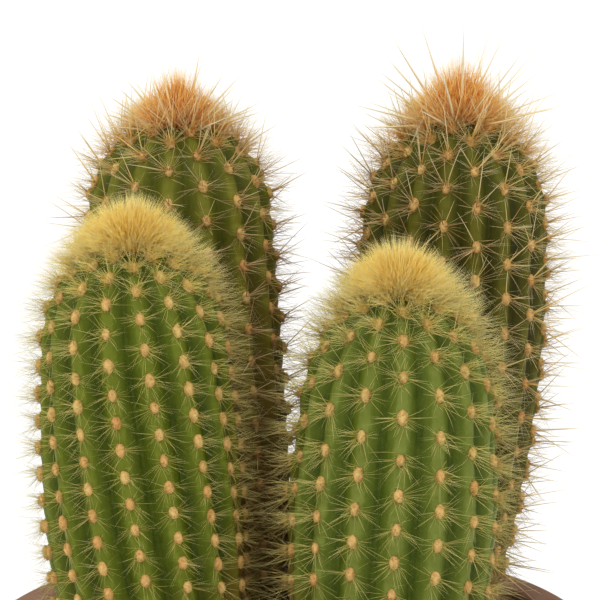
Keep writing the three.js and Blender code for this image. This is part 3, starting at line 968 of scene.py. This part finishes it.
def build_soil():
    """The soil: lumpy on top, plain where the pot hides it."""
    rng = np.random.default_rng(SOIL_SEED)
    on_top, on_wall, on_floor = SOIL_RINGS
    top_r = np.linspace(0.6, SOIL_RADIUS - 0.3, on_top)
    wall_z = np.linspace(SOIL_EDGE - 0.6, SOIL_FLOOR, on_wall)
    foot = bowl_outside(BASE_THICKNESS) - WALL - 0.4
    rise = (wall_z - BASE_THICKNESS) / (COLLAR_FOOT - BASE_THICKNESS)
    wall_r = np.where(wall_z > COLLAR_FOOT, SOIL_RADIUS, foot + (SOIL_RADIUS - foot) * rise)
    floor_r = np.linspace(foot * 0.9, 1.0, on_floor)
    r = np.concatenate([top_r, wall_r, floor_r])[:, None]
    z = np.concatenate([soil_height(top_r), wall_z, np.full(on_floor, SOIL_FLOOR)])[:, None]
    angle = circle(SOIL_COLUMNS)
    x, y = r * np.cos(angle), r * np.sin(angle)
    lumps = (waves(x, y, rng, 1.5, 0.15, 0.5, 12) + waves(x, y, rng, 1.0, 0.6, 1.6, 16)
             + waves(x, y, rng, 0.5, 2.0, 3.6, 20))
    grains = rng.normal(0, 0.16, x.shape)
    loose = (np.arange(len(r))[:, None] < on_top) * np.clip((SOIL_RADIUS - r) / 4, 0, 1)
    z = z + lumps * loose + grains * loose
    points = np.concatenate([[[0, 0, soil_height(0.0)]], np.stack([x, y, z], -1).reshape(-1, 3),
                             [[0, 0, SOIL_FLOOR]]])
    quads, tris, uv = closed_grid(len(r), SOIL_COLUMNS)
    return make_piece("potting_soil", points, quads, tris, uv, soil_material(), ("soil",))


def build_crumbs():
    """Clods, bark and grit lying on the soil, each a small lumpy closed pebble, and dry rootlets
    and dropped spines among them."""
    rng = np.random.default_rng(CRUMB_SEED)
    bunch = Bunch()

    def scatter(count, margin, lift):
        r = (SOIL_RADIUS - margin) * np.sqrt(rng.random(count))
        angle = rng.uniform(0, TAU, count)
        return np.stack([r * np.cos(angle), r * np.sin(angle), soil_height(r) + lift], -1)

    at = scatter(CRUMBS, 2, 0.3)
    for stem in STEMS:
        away = np.hypot(at[:, 0] - stem["foot"][0], at[:, 1] - stem["foot"][1])
        at = at[away > stem["radius"] * 0.93]
    count = len(at)
    normal = unit(rng.normal(0, 0.35, (count, 3)) + [0, 0, 1])
    side = unit(np.cross(normal, rng.normal(0, 1, (count, 3))))
    up = np.cross(normal, side)
    grain = rng.lognormal(-0.15, 0.5, count)[:, None]
    size = np.clip(grain * rng.uniform([0.5, 0.7, 0.4], [1.0, 1.5, 0.8], (count, 3)), 0.25, 3.4)
    tint = np.clip(rng.beta(1.3, 3.2, count), 0, 1)
    add_pads(bunch, at, normal, up, side, size, tint, rng)

    count = ROOTLETS
    at = scatter(count, 3, 0.8)
    direction = rng.normal(0, 1, (count, 3)) * [1, 1, 0.22] + [0, 0, 0.12]
    length, radius = rng.uniform(3, 9, count), rng.uniform(0.12, 0.3, count)
    bend = rng.normal(0, 1.2, (count, 3)) * [1, 1, 0.5]
    tint = np.clip(rng.normal(0.5, 0.25, count), 0, 1)
    add_strands(bunch, at, direction, length, radius, bend, tint, segments=5, sides=4)
    material = strand_material(
        "soil_grit",
        shades((0.0, 52, 34, 22), (0.4, 84, 58, 38), (0.7, 126, 94, 62), (1.0, 190, 170, 138)),
        shades((0.0, 78, 54, 36), (0.4, 112, 80, 52), (0.7, 156, 122, 84), (1.0, 216, 202, 178)),
        roughness=0.95)
    return bunch.piece("soil_crumbs", material, "soil")


place_feet()
build_pot()
build_soil()
build_crumbs()
for stem in STEMS:
    build_skin(stem)
    build_areoles(stem)
    build_spines(stem)
    build_crown(stem)


# ---------------------------------------------------------------- stage, light and camera

FLOOR_RADIUS = 12.0
FLOOR_LEVEL = -0.0002


def build_floor():
    """A wide pale disc under the pot."""
    mesh = bpy.data.meshes.new("floor")
    rim = [(FLOOR_RADIUS * math.cos(a), FLOOR_RADIUS * math.sin(a), FLOOR_LEVEL)
           for a in circle(128)]
    mesh.from_pydata(rim, [], [list(range(len(rim)))])
    s = Shader("floor", roughness=0.9)
    pale, paler = (0.93, 0.93, 0.93, 1), (0.96, 0.96, 0.96, 1)
    mesh.materials.append(s.finish(s.mix(s.noise(3, 2), pale, paler)))
    floor = add_object("floor", mesh)


def add_sun(name, towards, strength, width, colour):
    light = bpy.data.lights.new(name, "SUN")
    light.energy = strength
    light.angle = math.radians(width)
    light.color = colour
    add_object(name, light).rotation_euler = Vector(towards).to_track_quat("-Z", "Y").to_euler()


build_floor()
add_sun("key", towards=(0.5, 0.65, -0.9), strength=1.45, width=38, colour=(1.0, 0.985, 0.96))
add_sun("fill", towards=(-0.9, 0.45, -0.4), strength=0.65, width=60, colour=(0.98, 0.99, 1.0))

scene = bpy.context.scene
world = bpy.data.worlds.new("studio")
world.use_nodes = True
SKY_STRENGTH = 0.75
sky = world.node_tree.nodes["Background"]
sky.inputs["Color"].default_value = (1, 1, 1, 1)
sky.inputs["Strength"].default_value = SKY_STRENGTH
scene.world = world
scene.view_settings.view_transform = "Standard"

# The camera looks slightly down on the stems, close in, with the pot below the picture.
CAMERA_RISE = math.radians(10.5)
CAMERA_AWAY = 560
CAMERA_TARGET = (3, 0, SOIL_TOP + 88)
CAMERA_LENS = 127.7
SENSOR_WIDTH = 36
camera = add_object("camera", bpy.data.cameras.new("camera"))
camera.data.lens = CAMERA_LENS
camera.data.sensor_width = SENSOR_WIDTH
camera.data.clip_start = 0.01
camera.data.clip_end = 50
away = Vector((0, -math.cos(CAMERA_RISE), math.sin(CAMERA_RISE))) * CAMERA_AWAY * MM
camera.location = Vector(CAMERA_TARGET) * MM + away
camera.rotation_euler = (-away).to_track_quat("-Z", "Y").to_euler()
scene.camera = camera
